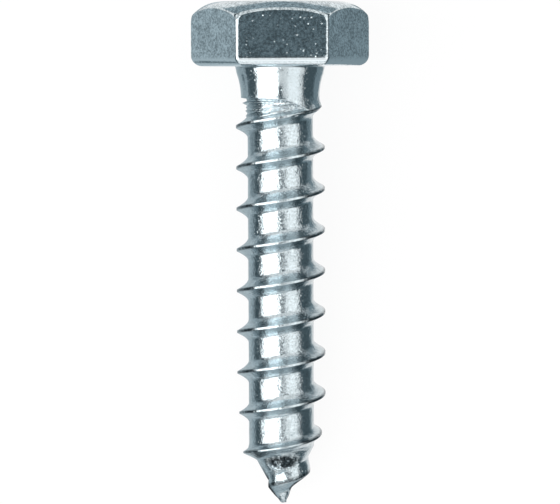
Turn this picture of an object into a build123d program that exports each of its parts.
from build123d import *
import math
import os

os.makedirs("parts", exist_ok=True)

# A hex head lag screw, forged and thread rolled in one piece. It is drawn upright first: the
# axis is Z, the bearing face under the head is z = 0, the head is above it and the thread is
# below it. Two flats of the hexagon face +Y and -Y. At the end the screw is laid on a table.
# All sizes are in millimetres, all angles in degrees.

# --- Head -----------------------------------------------------------------------------------
across_flats = 16.9
head_height = 7.0
crown_diameter = 13.6       # the flat disc on top, inside the chamfer
crown_angle = 28            # slope of the chamfer that trims the six corners
corner_rounding = 0.25      # along the six upright edges
bearing_rounding = 0.8      # the soft forged edge around the bearing face

# --- Plain shank ----------------------------------------------------------------------------
neck_diameter = 9.5         # right under the head
neck_length = 0.8           # the shank tapers from here to its end
neck_fillet = 0.2
shank_diameter = 8.6        # where the plain shank ends
shank_length = 3.4          # from the bearing face, neck and taper included
shoulder_angle = 45         # the step from the shank down to the core

# --- Thread ---------------------------------------------------------------------------------
thread_diameter = 9.72      # over the crests
core_diameter = 7.16
pitch = 4.5
crest_width = 0.38
flank_angle = 60            # between the two flanks of the ridge
first_crest = 6.6           # depth of the first full crest, which lies on the -X side
run_in = 0.8                # how far up inside the shank the ridge begins
run_in_depth = 0.15         # how deep its crest lies under the shank's surface there

# --- Point ----------------------------------------------------------------------------------
length = 48.1               # from the bearing face to the tip
point_length = 6.4          # the cone of the core and the pin at its end
pin_length = 1.3
pin_diameter = 1.24         # where the cone meets the pin
tip_rounding = 0.35
crest_overhang = 0.9        # the crests turn down the cone this far below the core's corner
worn_length = 6.6           # above that turn, they lose height over this stretch
worn_depth = 0.61
last_crest = 1.0            # height of the last crest above the tip, on the -X side
last_crest_diameter = 2.9
last_crest_rake = 0.7       # the crest leans this far towards the head there
point_bulge = 0.16          # the crests of the point stand out this far from a straight cone

# --- How the ridge is drawn -----------------------------------------------------------------
sections_per_turn = 9
foot_share = 0.94           # its foot is sunk to this share of the core's radius

neck_radius = neck_diameter / 2
shank_radius = shank_diameter / 2
thread_radius = thread_diameter / 2
core_radius = core_diameter / 2
pin_radius = pin_diameter / 2
point_top = point_length - length
pin_top = pin_length - length
shoulder_height = (shank_radius - core_radius) / math.tan(math.radians(shoulder_angle))
flank_slope = math.tan(math.radians(flank_angle / 2))


def read_off(z, stations):
    """Read a radius at height z off the straight lines through (z, radius) stations."""
    for (upper_z, upper), (lower_z, lower) in zip(stations, stations[1:]):
        if z >= lower_z:
            return upper + (lower - upper) * (upper_z - z) / (upper_z - lower_z)
    return stations[-1][1]


# The core is a cylinder, then the cone of the point, then the pin.
core_outline = [
    (0, core_radius), (point_top, core_radius), (pin_top, pin_radius),
    (tip_rounding - length, tip_rounding),
]

# The crest climbs out of the shank, runs full, wears down, drops along the point in two
# stretches, and sinks into the pin within a quarter turn.
ridge_top = run_in - shank_length
worn_end = point_top - crest_overhang
full_end = worn_end + worn_length
last_z = last_crest - length
middle_z = (worn_end + last_z) / 2
middle_radius = (thread_radius - worn_depth + last_crest_diameter / 2) / 2 + point_bulge
crest_outline = [
    (ridge_top, shank_radius - run_in_depth),
    (-first_crest, thread_radius),
    (full_end, thread_radius),
    (worn_end, thread_radius - worn_depth),
    (middle_z, middle_radius),
    (last_z, last_crest_diameter / 2),
    (last_z - pitch / 4, tip_rounding),
]
rake = last_crest_rake / (thread_radius - last_crest_diameter / 2)


def ridge_plane(z):
    """The plane through the axis that holds the ridge's section at height z."""
    turn = math.radians(180 + 360 * (z + first_crest) / pitch)
    outward = (math.cos(turn), math.sin(turn), 0)
    onward = (-math.sin(turn), math.cos(turn), 0)
    return Plane(origin=(0, 0, z), x_dir=outward, z_dir=onward)


def ridge_section(z):
    """The corners of that section, as (distance from the axis, distance below z)."""
    crest = read_off(z, crest_outline)
    lift = rake * (thread_radius - crest)
    # The core a quarter pitch further down is never thicker than where the flanks end.
    foot = read_off(z + lift - pitch / 4, core_outline) * foot_share
    half_crest = crest_width / 2
    half_foot = half_crest + (crest - foot) * flank_slope
    return [
        (foot, -half_foot - lift), (crest, -half_crest - lift),
        (crest, half_crest - lift), (foot, half_foot - lift),
    ]


# --- The ridge ------------------------------------------------------------------------------
# A right hand thread: seen from the head, it turns clockwise on its way to the tip. Each
# stretch between two stations of the crest is one loft.
with BuildPart() as ridge:
    for (upper_z, _), (lower_z, _) in zip(crest_outline, crest_outline[1:]):
        steps = math.ceil((upper_z - lower_z) / pitch * sections_per_turn)
        for step in range(steps + 1):
            z = upper_z + (lower_z - upper_z) * step / steps
            with BuildSketch(ridge_plane(z)):
                with BuildLine():
                    Polyline(*ridge_section(z), close=True)
                make_face()
        loft()

# --- The screw ------------------------------------------------------------------------------
with BuildPart() as screw:
    # The hexagon, with its upright edges and its bearing edge rounded.
    with BuildSketch():
        RegularPolygon(across_flats / 2, 6, major_radius=False)
    extrude(amount=head_height)
    fillet(screw.edges().filter_by(Axis.Z), corner_rounding)
    fillet(screw.faces().sort_by(Axis.Z)[0].edges(), bearing_rounding)

    # The crown: a cone trims the corners and leaves a flat disc on top.
    crown_reach = across_flats
    crown_drop = (crown_reach - crown_diameter / 2) * math.tan(math.radians(crown_angle))
    with BuildSketch(Plane.XZ):
        with BuildLine():
            Polyline(
                (0, 0), (crown_reach, 0), (crown_reach, head_height - crown_drop),
                (crown_diameter / 2, head_height), (0, head_height), close=True,
            )
        make_face()
    revolve(axis=Axis.Z, mode=Mode.INTERSECT)

    # Shank, core and point are one turned outline, rooted inside the head.
    with BuildSketch(Plane.XZ):
        with BuildLine():
            Polyline(
                (0, -length), (0, head_height / 2),
                (neck_radius + neck_fillet, head_height / 2), (neck_radius + neck_fillet, 0),
            )
            CenterArc((neck_radius + neck_fillet, -neck_fillet), neck_fillet, 90, 90)
            Line((neck_radius, -neck_fillet), (neck_radius, -neck_length))
            Bezier(
                (neck_radius, -neck_length), (shank_radius, -(neck_length + shank_length) / 2),
                (shank_radius, -shank_length),
            )
            Polyline(
                (shank_radius, -shank_length), (core_radius, -shank_length - shoulder_height),
                (core_radius, point_top), (pin_radius, pin_top),
                (tip_rounding, tip_rounding - length),
            )
            CenterArc((0, tip_rounding - length), tip_rounding, 0, -90)
        make_face()
    revolve(axis=Axis.Z)
    add(ridge.part)


# --- Lying at rest --------------------------------------------------------------------------
# The screw lies on a flat of its head and on one crest of the thread, so its axis slopes down
# towards the tip. The floor touches the rounded bearing edge and that crest.
def floor_slope(z):
    """Slope of the floor, in radians, if it touches the head and the crest at height z."""
    crest, below = ridge_section(z)[2]
    level = across_flats / 2 - bearing_rounding - crest
    apart = bearing_rounding - z + below
    return math.atan2(level, apart) + math.asin(bearing_rounding / math.hypot(level, apart))


# The crest passes the underside, +Y, a quarter turn below where it passes -X.
under_top = -first_crest - pitch / 4
under_count = math.floor((under_top - last_z) / pitch) + 1
slope = min(floor_slope(under_top - pitch * turn) for turn in range(under_count))
level_share, drop_share = math.cos(slope), math.sin(slope)

# The origin is on the floor, under the middle of the screw's length.
flat_radius = across_flats / 2 - bearing_rounding
axis_height = flat_radius * level_share + bearing_rounding * (1 - drop_share)
head_end = head_height * level_share + crown_diameter / 2 * drop_share
tip_end = (tip_rounding - length) * level_share - tip_rounding
lying = Plane(
    origin=(0, -(head_end + tip_end) / 2, axis_height),
    x_dir=(1, 0, 0), z_dir=(0, level_share, drop_share),
)
lag_screw = screw.part.moved(lying.location)
lag_screw.label = "lag_screw"
export_step(lag_screw, "parts/lag_screw.step")

print("volume", round(lag_screw.volume, 1), "mm3 in", len(lag_screw.solids()), "solid")
print("the axis slopes", round(math.degrees(slope), 3), "degrees down to the tip")
print("centre of the bearing face", lying.origin)
